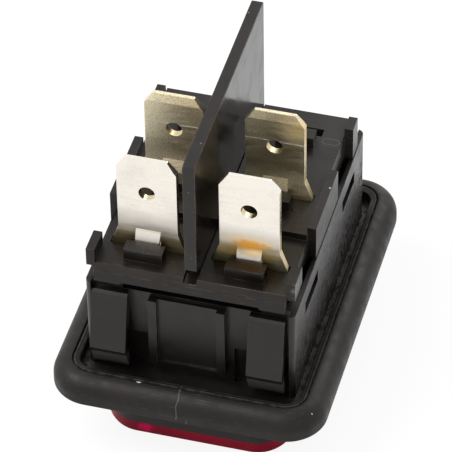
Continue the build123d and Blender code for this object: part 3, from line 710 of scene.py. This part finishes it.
dress(plain_finish("contact_silver", (0.80, 0.79, 0.76, 1), 1.0, 0.22, 3000.0, 0.15),
      "left_fixed_contact", "right_fixed_contact", "left_moving_contact", "right_moving_contact")
dress(plain_finish("arm_copper", (0.74, 0.46, 0.28, 1), 1.0, 0.28, 2500.0, 0.2),
      "left_contact_arm", "right_contact_arm")


# ---- Rocker ----
# The paddle is black plastic with two towers for the plungers; a red translucent lens covers
# its whole face, so the lamp behind shows when the switch is on.

paddle_black = (0.0058, 0.0048, 0.0044, 1)
lens_dark = (0.20, 0.0008, 0.014, 1)
lens_bright = (0.30, 0.0015, 0.022, 1)
glint_red = (0.62, 0.0015, 0.08, 1)
glint_place = (-0.0052, -0.0148, -0.0096)

rocker_plastic, _, surface, *_ = black_plastic(
    "rocker_plastic", paddle_black, roughness=0.36, grain_height=0.00002, fineness=8000.0,
    wear_and_highlight=0.4, dust=0.02)
surface.inputs["Specular IOR Level"].default_value = 0.15
# Painted light: the red specular tint stands in for red light from the lens falling on the paddle.
surface.inputs["Specular Tint"].default_value = (1.0, 0.76, 0.76, 1)
paddle = rounded_moulding("rocker_body", "paddle_body", radius=0.00010)
finish_piece(paddle, "rocker", rocker_plastic, "rocker_body")

lens_red, tree, surface, place = new_material("lens_red")
depth = fade(tree, cloud(tree, place, 150.0, 3.0), 0.3, 0.7)
body = blended(tree, depth, lens_dark, lens_bright)
# A spot on the near edge glows brighter, where light gathers in the plastic.
glint = spot(tree, place, glint_place, (0.0011, 0.0014, 0.0009), ragged=0.8)
tree.links.new(blended(tree, glint, body, glint_red), surface.inputs["Base Color"])
tree.links.new(fade(tree, cloud(tree, place, 900.0, 4.0), 0.3, 0.7, 0.24, 0.34),
               surface.inputs["Roughness"])
surface.inputs["Specular IOR Level"].default_value = 0.04
add_relief(tree, surface, cloud(tree, place, 3000.0, 3.0), 0.15, 0.00002)
lens = rounded_moulding("rocker_lens", "lens_cover", radius=0.00015, steps=3, sharp=25)
finish_piece(lens, "rocker", lens_red, "rocker_lens")


# ---- Plungers and springs ----
# Acetal plungers slide in the towers, each pushed at its arm by a small spring of round wire.
# The spring stands on the floor of the bore and would shorten as the plunger is pushed down on it;
# it is built here at one fixed length.

dress(plain_finish("plunger_acetal", (0.78, 0.77, 0.73, 1), 0.0, 0.38, 4000.0, 0.06),
      "left_plunger", "right_plunger")

spring_axis = mathutils.Vector((0, -0.139173, 0.990268))
spring_across = mathutils.Vector((0, 0.990268, 0.139173))
spring_floor = -0.003872
spring_height = 0.003494
wire_radius = 0.000222
coil_radius = 0.0012
coil_centre_x = 0.00532
coil_centre_across = -0.000362
coil_steps = 60
coil_turn = math.radians(15.25)

spring_steel = plain_finish("spring_wire_steel", (0.52, 0.52, 0.53, 1), 1.0, 0.26, 5000.0, 0.2)
for hand, side in (("left", -1), ("right", 1)):
    coil = bpy.data.curves.new(f"{hand}_spring_coil", "CURVE")
    coil.dimensions = "3D"
    coil.bevel_depth = wire_radius
    coil.bevel_resolution = 3
    coil.use_fill_caps = True
    strand = coil.splines.new("POLY")
    strand.points.add(coil_steps)
    for index, point in enumerate(strand.points):
        angle = coil_turn * index
        rise = wire_radius + (spring_height - 2 * wire_radius) * index / coil_steps
        across = coil_centre_across + coil_radius * math.sin(angle)
        centre = spring_axis * (spring_floor + rise) + spring_across * across
        point.co = (side * coil_centre_x + coil_radius * math.cos(angle), centre.y, centre.z, 1)
    spring = bpy.data.objects.new(f"{hand}_spring_coil", coil)
    bpy.context.scene.collection.objects.link(spring)
    clear_selection()
    bpy.context.view_layer.objects.active = spring
    spring.select_set(True)
    bpy.ops.object.convert(target="MESH")
    spring = bpy.context.object
    bpy.ops.object.shade_smooth_by_angle(angle=math.radians(40))
    finish_piece(spring, "rocker", spring_steel, f"{hand}_plunger_spring")
    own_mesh(spring)


# ---- Lamp ----
# A small neon lamp of clear glass stands in the middle of the body, fed through a series
# resistor in sand-coloured enamel, and both hang on leads of tinned wire.

dress(plain_finish("resistor_enamel", (0.70, 0.56, 0.36, 1), 0.0, 0.35, 3000.0, 0.12),
      "lamp_resistor")
dress(plain_finish("lead_wire_tin", (0.66, 0.66, 0.64, 1), 1.0, 0.3, 4000.0, 0.15),
      "left_lamp_lead", "right_lamp_lead")
lamp_glass, tree, surface, place = new_material("lamp_glass")
surface.inputs["Transmission Weight"].default_value = 0.9
surface.inputs["Base Color"].default_value = (0.95, 0.90, 0.86, 1)
surface.inputs["Roughness"].default_value = 0.05
add_relief(tree, surface, cloud(tree, place, 500.0, 3.0), 0.1, 0.00005)
dress(lamp_glass, "neon_lamp")


# ---- Floor, light and camera ----
# A plain white sweep under the switch, soft light from above and behind, and the camera
# where the photograph was taken from.

def seen_directly(tree):
    """Mask of the rays that come from the camera, a reflection or glass."""
    path = put(tree, "ShaderNodeLightPath")
    direct = arithmetic(tree, "MAXIMUM", path.outputs["Is Camera Ray"],
                        path.outputs["Is Glossy Ray"])
    return arithmetic(tree, "MAXIMUM", direct, path.outputs["Is Transmission Ray"])


floor_gap = 0.00002
clear_selection()
bpy.ops.mesh.primitive_plane_add(size=3.0, location=(0, 0, cad_low[2] - floor_gap))
floor = bpy.context.object
floor.name = "floor"
floor_white = bpy.data.materials.new("floor_white")
floor_white.use_nodes = True
tree = floor_white.node_tree
surface = tree.nodes["Principled BSDF"]
surface.inputs["Base Color"].default_value = (0.90, 0.90, 0.90, 1)
surface.inputs["Roughness"].default_value = 0.9
glow = put(tree, "ShaderNodeEmission", Color=(1, 1, 1, 1), Strength=1.05)
mixed = put(tree, "ShaderNodeMixShader")
tree.links.new(product(tree, seen_directly(tree), 0.85), mixed.inputs[0])
tree.links.new(surface.outputs[0], mixed.inputs[1])
tree.links.new(glow.outputs[0], mixed.inputs[2])
tree.links.new(mixed.outputs[0], tree.nodes["Material Output"].inputs["Surface"])
floor.data.materials.append(floor_white)

world = bpy.data.worlds.new("studio")
bpy.context.scene.world = world
world.use_nodes = True
tree = world.node_tree
background = tree.nodes["Background"]
background.inputs["Color"].default_value = (1, 1, 1, 1)
tree.links.new(fade(tree, seen_directly(tree), 0.0, 1.0, 0.55, 1.0),
               background.inputs["Strength"])


def soft_lamp(name, place, size, power):
    """Large square lamp turned towards the switch."""
    data = bpy.data.lights.new(name, "AREA")
    data.size = size
    data.energy = power
    lamp = bpy.data.objects.new(name, data)
    lamp.location = place
    direction = [-c for c in place]
    length = math.sqrt(sum(c * c for c in direction))
    lamp.rotation_euler = (math.acos(-direction[2] / length), 0,
                           math.atan2(direction[1], direction[0]) - math.pi / 2)
    bpy.context.scene.collection.objects.link(lamp)


soft_lamp("key_lamp", (-0.25, -0.15, 0.45), 0.25, 1.6)
soft_lamp("back_lamp", (0.15, 0.45, 0.30), 0.30, 0.9)

camera_data = bpy.data.cameras.new("camera")
camera_data.lens = 294.69
camera_data.sensor_width = 36.0
camera_data.shift_x = -0.00684
camera_data.shift_y = -0.00582
camera_data.clip_start = 0.01
camera_data.clip_end = 10.0
camera = bpy.data.objects.new("camera", camera_data)
camera.location = (0.0776892, -0.2720412, 0.2708936)
camera.rotation_euler = (0.82117356, 0.01248267, 0.26605834)
bpy.context.scene.collection.objects.link(camera)
bpy.context.scene.camera = camera
bpy.context.scene.view_settings.view_transform = "Standard"
